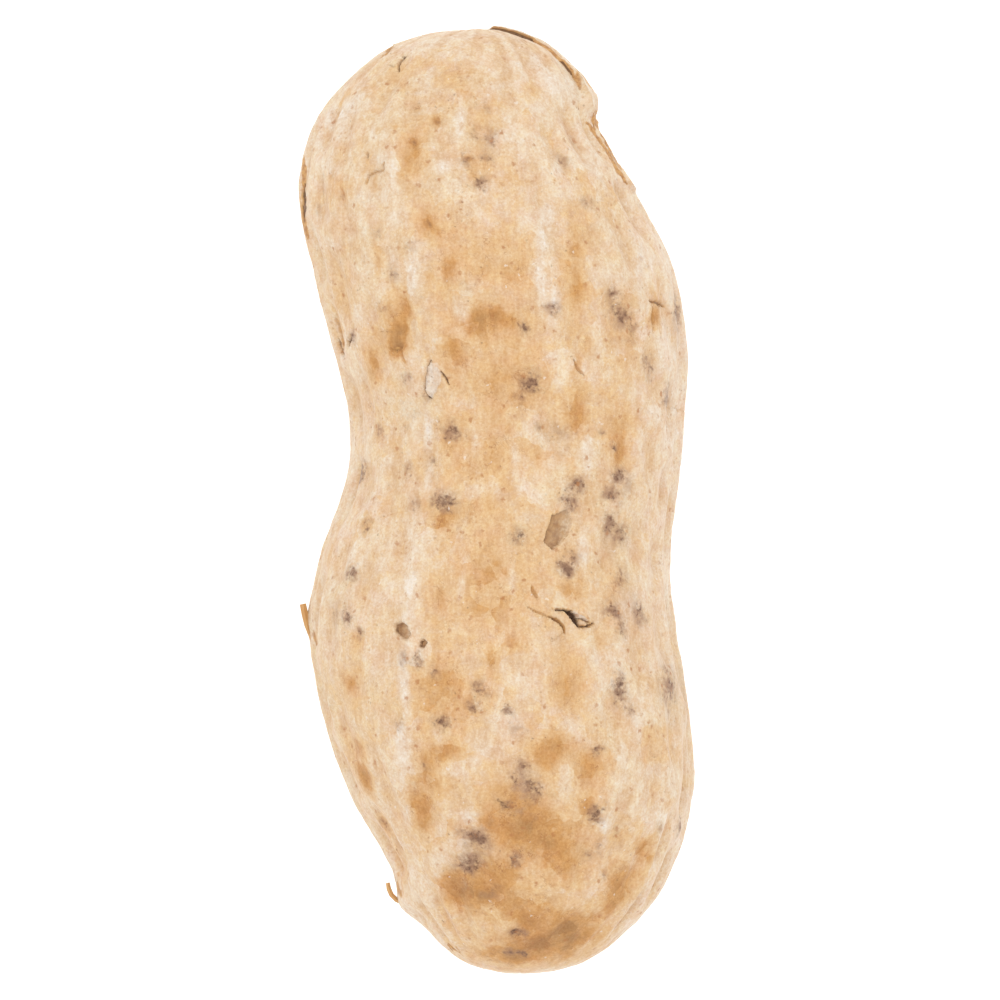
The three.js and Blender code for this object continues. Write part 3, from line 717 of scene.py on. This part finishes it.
def add_chips(spots, facing, skin):
    for outline, depth, painted_shade, orange in CHIPS:
        within = inside_outline(spots, outline)
        floor = smoothstep(-0.4, 0.9, within) * facing
        wall = floor * smoothstep(2.8, 0.6, within)
        skin["height"] -= depth * floor
        left, right = min(x for x, _ in outline), max(x for x, _ in outline)
        # Painted shade: the chip is darker towards its left, where its floor takes more of the chip colour
        # and the painted shade along its walls is strongest
        left_shade = 1 - 0.55 * smoothstep(left, right, spots[:, 0])
        cover(skin, "chipped", floor * left_shade)
        cover(skin, "torn", orange * floor)
        cover(skin, "dark", painted_shade * wall * left_shade**2)


def add_flaps(spots, facing, skin):
    """Flakes of skin that have lifted along their left side, with a groove and painted shadow beside it."""
    for outline, lift in FLAPS:
        within = inside_outline(spots, outline)
        left, right = min(x for x, _ in outline), max(x for x, _ in outline)
        free = np.clip((right - spots[:, 0]) / (right - left), 0, 1)
        flap = smoothstep(-0.3, 0.7, within) * facing
        under = smoothstep(-3.0, -0.8, within) * (1 - flap) * smoothstep(0.55, 0.8, free) * facing
        skin["height"] += lift * flap * (0.25 + 0.75 * free) - 0.1 * under
        # Painted shadow in the groove beside each flake's lifted left side
        cover(skin, "dark", 0.75 * under)
        cover(skin, "pale", 1.1 * flap)
        skin["mould"] = np.where(flap > 0.5, 0.22, skin["mould"])


def open_seam(skin):
    """The step between the parted halves: a gap with painted shade beside the upper half's edge, and the
    lower half's torn rim. Returns how deep the gap is at each point."""
    y, arc = skin["y"], skin["arc"]
    step = skin["step"] + 0.08 * skin["wobble"] * (skin["step"] > 0)
    right = np.abs(skin["degrees"]) < 90
    gap_end, torn_end = (np.interp(-y, -STEP_SHARES[:, 0], STEP_SHARES[:, k]) for k in (1, 2))
    on_step = right * smoothstep(0.0, 0.1, step) * (y > STEP_SHARES[-1, 0])
    gap = on_step * smoothstep(gap_end + 0.08, gap_end - 0.08, step) * (gap_end > 0.05)
    torn = on_step * smoothstep(torn_end + 0.1, torn_end - 0.05, step) * smoothstep(-0.15, -0.1, arc)
    # Painted shade in the gap
    cover(skin, "dark", 0.7 * gap)
    cover(skin, "dark", 0.4 * torn * smoothstep(*DARK_RIM, y))
    cover(skin, "torn", torn)
    behind = smoothstep(-1.6, -0.3, arc) * smoothstep(-0.12, -0.2, arc) * right * (y > BLEACHED_TO)
    cover(skin, "pale", 0.6 * behind)
    return GAP_DEPTH * gap


def drawn_out(spots, swirls, ripples, by):
    return spots + by[0] * swirls[:, :2] + by[1] * ripples[:, :2]


def lay_stains(skin, spots, seen, swirls, ripples):
    """Ridges, stains, mould and tinges: those that the photograph shows, then those placed by chance. Swirls
    and ripples draw out their edges, so that none is a plain oval."""
    height = skin["place"][:, 2]
    unseen = ~seen
    drawn = drawn_out(spots, swirls, ripples, SMALL_DRAW)
    swept = drawn_out(spots, swirls, ripples, BROAD_DRAW)
    pale = spread_marks(PALE, drawn, height, seen)
    # The long pale strips along the pod's edges among these are painted reflection
    pale = np.maximum(pale, spread_marks(BLEACHES_AND_EDGE_REFLECTION, swept, height, seen))
    ochre = STAIN_SHARE * spread_marks(OCHRE, drawn, height, seen)
    ochre += spread_marks(WASHES, swept, height, seen)
    ochre *= 1 - PALE_CLEARS * np.clip(pale, 0, 1)
    grown = [
        (x, y, MOULD_GROWTH * length, MOULD_GROWTH * width, *rest)
        for x, y, length, width, *rest in MOULD
    ]
    mould = spread_marks(grown, drawn_out(spots, swirls, ripples, MOULD_DRAW), height, seen)
    tinge = spread_marks(TINGES, swept, height, seen)
    ochre += spread_marks(scattered(*UNSEEN_STAINS), drawn, height, unseen)
    ochre += spread_marks(scattered(*UNSEEN_WASHES), swept, height, unseen)
    pale += spread_marks(scattered(*UNSEEN_RIDGES), drawn, height, unseen)
    mould += spread_marks(scattered(*UNSEEN_MOULD), drawn, height, unseen)
    tinge += spread_marks(scattered(*UNSEEN_TINGES), swept, height, unseen)
    x, y, half_length, half_width, strength = SQUARE_PATCH
    square = smoothstep(1.2, 0.8, np.abs(spots[:, 0] - x) / half_width)
    square *= smoothstep(1.2, 0.8, np.abs(spots[:, 1] - y) / half_length)
    ochre = np.maximum(ochre, strength * square * seen)
    pale *= 1 - PATCH_CLEARS * square
    skin.update(ochre=ochre, pale=pale, mould=mould, tinge=tinge)


def make_pod():
    mesh = fine_sphere()
    unit = read_places(mesh)
    unit /= np.linalg.norm(unit, axis=1)[:, None]
    skin = pod_surface(unit)
    place = skin["place"]
    spots = to_photo(place)
    seen = (skin["seam"] > -SEEN_BELOW_SEAM) & (unit[:, 2] > SEEN_DOWN_TO)
    swirls = wandering(place, SWIRL_SIZE)
    ripples = wandering(place + 40, RIPPLE_SIZE)
    lay_stains(skin, spots, seen, swirls, ripples)

    # Ridges stand up and the stained pits lie low
    nothing = np.zeros(len(place))
    skin.update(torn=nothing, dark=nothing, chipped=nothing, wobble=ripples[:, 2])
    skin["height"] = RIDGE_RISE * skin["pale"] - PIT_SINK * skin["ochre"]
    skin["height"] += SKIN_LUMPS * rough(place, LUMP_SIZE, 3)
    skin["height"] += SKIN_GRAIN * rough(place * GRAIN_STRETCH, GRAIN_SIZE, 2)

    # The wounds' edges are ragged, most of all on the steep sides, which the photograph shows foreshortened
    ragged = spots + TEAR_DRAW * wandering(place + 80, TEAR_SIZE)[:, :2]
    ragged[:, 1] += STEEP_DRAW * (1 - smoothstep(0.1, 0.45, unit[:, 2])) * ripples[:, 0]
    upward = smoothstep(-0.05, 0.0, unit[:, 2])
    add_cracks(ragged, upward, skin)
    add_chips(ragged, upward, skin)
    add_flaps(ragged, upward, skin)
    gap = open_seam(skin)

    place = place + skin["out"] * skin["height"][:, None]
    place[:, 2] -= gap
    place[:, 2] = np.maximum(place[:, 2], RESTING_CUT)
    mesh.vertices.foreach_set("co", ((place + SEAT) * MM).ravel())
    mesh.update()
    # The pale values hold the painted reflection along the pod's edges as well as the bleached ridges
    write_marks(mesh, "stains", skin["ochre"], skin["mould"], skin["pale"])
    # The dark values are painted shade in cracks, the seam's gap, chips' walls and beside lifted flakes, and
    # the darkening of the torn rim near the tip
    write_marks(mesh, "wounds", skin["torn"], skin["dark"], skin["chipped"])
    write_marks(mesh, "form", skin["raised"], skin["tinge"], nothing)
    mesh.shade_smooth()
    mesh.materials.append(shell_finish())
    pod = put_in_scene("pod_skin", mesh)
    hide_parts("pod")
    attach(pod, "root")


def point_on(line, share):
    """Place and half width at a share of the way along a blade's line."""
    stops = np.linspace(0, 1, len(line))
    return [np.interp(share, stops, [point[k] for point in line]) for k in range(3)]


def make_flake(name, line, top, deep, finish):
    """A torn blade of skin on edge, along its line."""
    bm = bmesh.new()
    bmesh.ops.create_grid(bm, x_segments=2, y_segments=6 * (len(line) - 1), size=1.0)
    for v in bm.verts:
        share = (v.co.y + 1) / 2
        x, y, half = point_on(line, share)
        ahead = point_on(line, min(share + 0.1, 1))
        behind = point_on(line, max(share - 0.1, 0))
        run_x, run_y = ahead[0] - behind[0], ahead[1] - behind[1]
        length = math.hypot(run_x, run_y)
        x += v.co.x * half * run_y / length
        y -= v.co.x * half * run_x / length
        v.co = (*from_photo(x, y), top - 0.1 * abs(v.co.x))
    walls = bmesh.ops.extrude_face_region(bm, geom=bm.faces[:])
    moved = [part for part in walls["geom"] if isinstance(part, bmesh.types.BMVert)]
    bmesh.ops.translate(bm, verts=moved, vec=(0, 0, -deep))
    bmesh.ops.recalc_face_normals(bm, faces=bm.faces)
    bmesh.ops.translate(bm, verts=bm.verts, vec=Vector(SEAT))
    bmesh.ops.scale(bm, verts=bm.verts, vec=(MM, MM, MM))
    mesh = take_mesh(bm, name)
    mesh.materials.append(finish)
    flake = put_in_scene(name, mesh)
    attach(flake, "root")


class Finish:
    """A material's nodes, with a short way to add one and join it up."""

    def __init__(self, name):
        self.material = bpy.data.materials.new(name)
        self.material.use_nodes = True
        self.tree = self.material.node_tree
        self.shader = self.tree.nodes["Principled BSDF"]
        self.colour = None

    def add(self, kind, *inputs, out=0, **settings):
        made = self.tree.nodes.new("ShaderNode" + kind)
        for name, value in settings.items():
            setattr(made, name, value)
        for number, value in enumerate(inputs):
            self.join(value, made.inputs[number])
        return made.outputs[out]

    def join(self, value, socket):
        if value is None:
            return
        if isinstance(value, bpy.types.NodeSocket):
            self.tree.links.new(value, socket)
        else:
            socket.default_value = value

    def maths(self, operation, *inputs):
        return self.add("Math", *inputs, operation=operation)

    def plus(self, first, second):
        return self.maths("ADD", first, second)

    def times(self, first, second):
        return self.maths("MULTIPLY", first, second)

    def ramp(self, value, low, high, to_low=0.0, to_high=1.0):
        return self.add("MapRange", value, low, high, to_low, to_high, interpolation_type="SMOOTHSTEP")

    def noise(self, place, scale, detail=3.0, roughness=0.55):
        return self.add("TexNoise", place, None, scale, detail, roughness)

    def blend(self, share, first, second, way="MIX"):
        return self.add("Mix", share, *[None] * 5, first, second, out=2, data_type="RGBA", blend_type=way)

    def lay(self, share, colour, way="MIX"):
        self.colour = self.blend(share, self.colour, colour, way)

    def paint(self, value, low, high, colour, most=1.0, way="MIX"):
        """Lays a colour on: none of it where the value is low, and the most of it where the value is high."""
        self.lay(self.ramp(value, low, high, 0.0, most), colour, way)

    def tone(self, value):
        """A grey that swings about the middle as the value does, a little more in blue than in red."""
        low, high = (0.325, 0.25, 0.125, 1), (0.675, 0.75, 0.875, 1)
        return self.blend(self.ramp(value, 0.25, 0.75), low, high)

    def place(self, along=1.0):
        """The place on the object in millimetres, with the scale along the pod changed where it is given."""
        return self.add("Mapping", self.add("TexCoord", out=3), None, None, (1 / MM, along / MM, 1 / MM))

    def marks(self, name):
        """The three values that the mesh holds under a name."""
        return self.add("SeparateColor", self.add("Attribute", attribute_name=name)).node.outputs

    def ragged_cells(self, place, scale, shift_scale, shift):
        """A value for each cell of a pattern, and the distance from its middle. A noise shifts the place."""
        wave = self.add("TexNoise", place, None, shift_scale, out=1)
        wavy = self.add("VectorMath", wave, (shift,) * 3, place, operation="MULTIPLY_ADD")
        distance = self.add("TexVoronoi", wavy, None, scale)
        return self.add("SeparateColor", distance.node.outputs[1]), distance

    def spots(self, place, scale, size, share):
        """Ragged spots, at most one in each cell of the given scale, in only a share of the cells."""
        picked, distance = self.ragged_cells(place, scale, 2.5 * scale, 0.6 / scale)
        return self.times(self.ramp(distance, size, size * 0.35), self.ramp(picked, 1 - share, 1.05 - share))

    def surface(self, settings):
        for name, value in settings.items():
            self.join(value, self.shader.inputs[name])


def shade(red, green, blue):
    """The surface colour that shows as this screen colour under the scene's light."""
    linear = [((c / 255 + 0.055) / 1.055) ** 2.4 for c in (red, green, blue)]
    return (*(c / LIGHT_LEVEL for c in linear), 1.0)


CREAM = shade(243, 221, 196)
WARM_CREAM = shade(239, 214, 182)
TAN = shade(230, 195, 157)
GOLDEN = shade(235, 198, 154)
OCHRE_STAIN = shade(214, 162, 104)
BROWN_STAIN = shade(178, 132, 84)
# Bleached ridges and places, and the painted reflection along the pod's edges
BLEACHED_AND_EDGE_REFLECTION = shade(244, 226, 206)
GREYISH = shade(203, 171, 142)
HAZE = shade(170, 130, 102)
MOULD_SPECK = shade(92, 64, 50)
MOULD_HEART = shade(128, 92, 72)
STROKE = shade(168, 108, 62)
RUSSET = shade(190, 128, 78)
CHIP_FLOOR = shade(196, 156, 114)
CHIP_SHADE = shade(158, 114, 78)
TORN_FIBRE = shade(224, 172, 108)
TORN_SHADE = shade(190, 134, 80)
# Painted shade in cracks, the seam's gap, chips' walls and beside lifted flakes, and the darkening of the
# torn rim near the tip
DARK_BROWN_AND_PAINTED_SHADE = shade(104, 76, 56)
CHALK = shade(252, 240, 226)
BLADE_LIGHT = shade(234, 188, 126)
BLADE_DARK = shade(216, 162, 100)
YELLOWING = (1.0, 0.94, 0.81, 1)
ROSY = (1.0, 0.965, 0.985, 1)


def shell_finish():
    f = Finish("peanut_shell")
    place = f.place()
    ochre, mould, pale = f.marks("stains")
    torn, dark, chipped = f.marks("wounds")
    raised, tinge, _ = f.marks("form")

    broad = f.noise(place, 0.2, 2.0)
    patches = f.noise(place, 0.7, 4.0, 0.6)
    mottle = f.noise(place, 2.2, 4.0, 0.65)
    grain = f.noise(place, 9.0, 3.0, 0.65)
    fibres = f.noise(f.place(FIBRE_SCALE), 4.0, 3.0, 0.6)
    wander = f.maths("SUBTRACT", mottle, 0.5)

    # Cream ground with tan patches that keep to the low places
    f.colour = f.blend(f.ramp(broad, 0.38, 0.62), CREAM, WARM_CREAM)
    low = f.times(f.maths("SUBTRACT", 1.0, raised), 0.5)
    tanned = f.plus(f.plus(patches, low), f.times(wander, 0.5))
    f.paint(tanned, 0.6, 0.95, TAN, 0.8)

    # The stained pits
    stain = f.plus(ochre, f.times(wander, 0.9))
    cell, _ = f.ragged_cells(place, 0.9, 1.5, 0.9)
    flaked = f.maths("SUBTRACT", cell, 0.5)
    stain = f.plus(stain, f.times(flaked, 0.3))
    f.paint(stain, 0.06, 0.44, GOLDEN)
    f.paint(stain, 0.42, 0.95, OCHRE_STAIN)
    f.paint(stain, 0.85, 1.6, BROWN_STAIN)

    # Yellow and rosy tones that come and go, and then the bleached ridges with the painted reflection along
    # the pod's edges, and the greyish places
    yellowed = f.noise(place, 1.2, 6.0, 0.75)
    f.paint(yellowed, 0.35, 0.65, YELLOWING, way="MULTIPLY")
    rosy = f.noise(place, 0.8, 3.0, 0.6)
    f.paint(rosy, 0.45, 0.65, ROSY, way="MULTIPLY")
    ridge = f.plus(pale, f.plus(f.times(wander, 0.5), f.times(flaked, -0.15)))
    f.paint(ridge, 0.1, 0.9, BLEACHED_AND_EDGE_REFLECTION, 0.85)
    f.paint(f.plus(tinge, wander), 0.12, 1.1, GREYISH)

    # Fine fibres and grain
    for share, value in ((0.22, fibres), (0.28, grain), (0.25, mottle)):
        f.lay(share, f.tone(value), "OVERLAY")

    # Mould: a soft haze with a darker heart and dark specks
    haze = f.times(f.maths("POWER", mould, 0.6), f.ramp(mottle, 0.35, 0.65, 0.3, 1.1))
    f.paint(haze, 0.05, 0.9, HAZE, 0.75)
    hairs = f.noise(place, 5.0, 3.0, 0.6)
    heart = f.plus(mould, f.times(f.maths("SUBTRACT", hairs, 0.5), 3.0))
    f.paint(heart, 0.35, 1.35, MOULD_HEART, 0.75)
    specks = f.times(f.ramp(hairs, 0.55, 0.7), f.ramp(mould, 0.3, 1.1, 0.0, 0.7))
    f.lay(specks, MOULD_SPECK)

    # Short curved strokes where the skin is stained
    bend = f.maths("ABSOLUTE", f.maths("SUBTRACT", f.noise(place, 1.9, 3.0, 0.6), 0.5))
    stroke = f.times(f.ramp(bend, 0.03, 0.006), f.ramp(f.noise(place, 1.5, 3.0), 0.5, 0.6))
    stroke = f.times(stroke, f.ramp(grain, 0.35, 0.6))
    stroke = f.times(stroke, f.ramp(ochre, 0.1, 0.9, 0.2, 0.65))
    f.lay(stroke, STROKE)

    # Small spots of rust, dirt and chalk
    crowd = f.ramp(f.noise(place, 0.45, 2.0), 0.45, 0.65)
    rust = f.times(f.spots(place, 2.2, 0.3, 0.4), f.ramp(patches, 0.4, 0.58, 0.15, 0.7))
    freckles = f.times(f.spots(place, 5.0, 0.4, 0.3), f.times(crowd, 0.4))
    dirt = f.times(f.spots(place, 3.6, 0.22, 0.25), f.times(crowd, 0.45))
    chalk = f.times(f.spots(place, 1.7, 0.13, 0.35), 0.6)
    f.lay(f.maths("MAXIMUM", rust, freckles), RUSSET)
    f.lay(dirt, MOULD_SPECK)
    f.lay(chalk, CHALK)

    # Broken edges, and painted shade in cracks, in the seam's gap, on chips' walls and beside lifted flakes;
    # the same dark brown darkens the torn rim near the tip
    ragged = f.times(f.maths("SUBTRACT", hairs, 0.5), 0.8)
    floor = f.blend(f.ramp(mottle, 0.35, 0.62), CHIP_SHADE, CHIP_FLOOR)
    f.paint(f.plus(chipped, ragged), 0.2, 0.8, floor, 0.85)
    fibre = f.blend(f.ramp(hairs, 0.4, 0.62), TORN_SHADE, TORN_FIBRE)
    f.paint(f.plus(torn, ragged), 0.2, 0.8, fibre, 0.92)
    f.paint(f.plus(dark, ragged), 0.2, 0.9, DARK_BROWN_AND_PAINTED_SHADE)

    fine = f.plus(f.times(grain, 0.5), f.plus(mottle, f.times(fibres, 0.5)))
    f.surface({
        "Base Color": f.colour,
        "Roughness": f.ramp(mottle, 0.3, 0.7, 0.62, 0.82),
        "Specular IOR Level": 0.25,
        "Sheen Weight": 0.15,
        "Sheen Roughness": 0.35,
        "Normal": f.add("Bump", 0.5, BUMP_HEIGHT * MM, None, fine),
    })
    return f.material


def torn_finish():
    """The ochre fibre of the torn blades."""
    f = Finish("torn_fibre")
    streaks = f.noise(f.place(FIBRE_SCALE), 3.0)
    colour = f.blend(f.ramp(streaks, 0.35, 0.65), BLADE_LIGHT, BLADE_DARK)
    f.surface({"Base Color": colour, "Roughness": 0.75})
    return f.material


def lit_floor():
    """White and lit from below, so that the pod casts hardly any shadow on it."""
    f = Finish("lit_floor")
    f.surface({"Base Color": (0.9, 0.9, 0.9, 1), "Roughness": 0.9, "Specular IOR Level": 0.1})
    f.surface({"Emission Color": (1, 1, 1, 1), "Emission Strength": 0.4})
    return f.material


def make_floor():
    bm = bmesh.new()
    bmesh.ops.create_grid(bm, x_segments=1, y_segments=1, size=FLOOR_HALF)
    mesh = take_mesh(bm, "floor")
    mesh.materials.append(lit_floor())
    put_in_scene("floor", mesh)


def add_softbox(name, place, size, power):
    """A square area light that faces the pod. Place in millimetres."""
    lamp = bpy.data.lights.new(name, "AREA")
    lamp.size = size * MM
    lamp.energy = power
    box = put_in_scene(name, lamp)
    box.location = Vector(place) * MM
    box.rotation_euler = (-box.location).to_track_quat("-Z", "Y").to_euler()


def light_scene():
    world = bpy.data.worlds.new("studio")
    world.use_nodes = True
    world.node_tree.nodes["Background"].inputs["Color"].default_value = (1.0, 1.0, 1.0, 1)
    world.node_tree.nodes["Background"].inputs["Strength"].default_value = 1.0
    bpy.context.scene.world = world
    add_softbox("key", KEY_PLACE, KEY_SIZE, KEY_POWER)
    bpy.context.scene.view_settings.view_transform = "Standard"


def add_camera():
    """Straight above the photograph's middle, with the photograph's scale at the pod's widest."""
    camera = bpy.data.cameras.new("camera")
    camera.sensor_width = CAMERA_SENSOR
    camera.lens = CAMERA_SENSOR * (CAMERA_HEIGHT - WIDEST_AT) / (PHOTO_SIDE * MM_PER_PX)
    camera.clip_start = 0.01
    camera.clip_end = 10
    holder = put_in_scene("camera", camera)
    x, y = from_photo(*PHOTO_CENTRE)
    holder.location = ((x + SEAT[0]) * MM, (y + SEAT[1]) * MM, CAMERA_HEIGHT * MM)
    bpy.context.scene.camera = holder


random.seed(SEED)
noise.seed_set(SEED)
make_pod()
fibre = torn_finish()
make_flake("left_flake", LEFT_FLAKE, LEFT_FLAKE_TOP, LEFT_FLAKE_DEEP, fibre)
make_flake("curled_edge", CURLED_EDGE, CURLED_EDGE_TOP, CURLED_EDGE_DEEP, fibre)
make_floor()
light_scene()
add_camera()
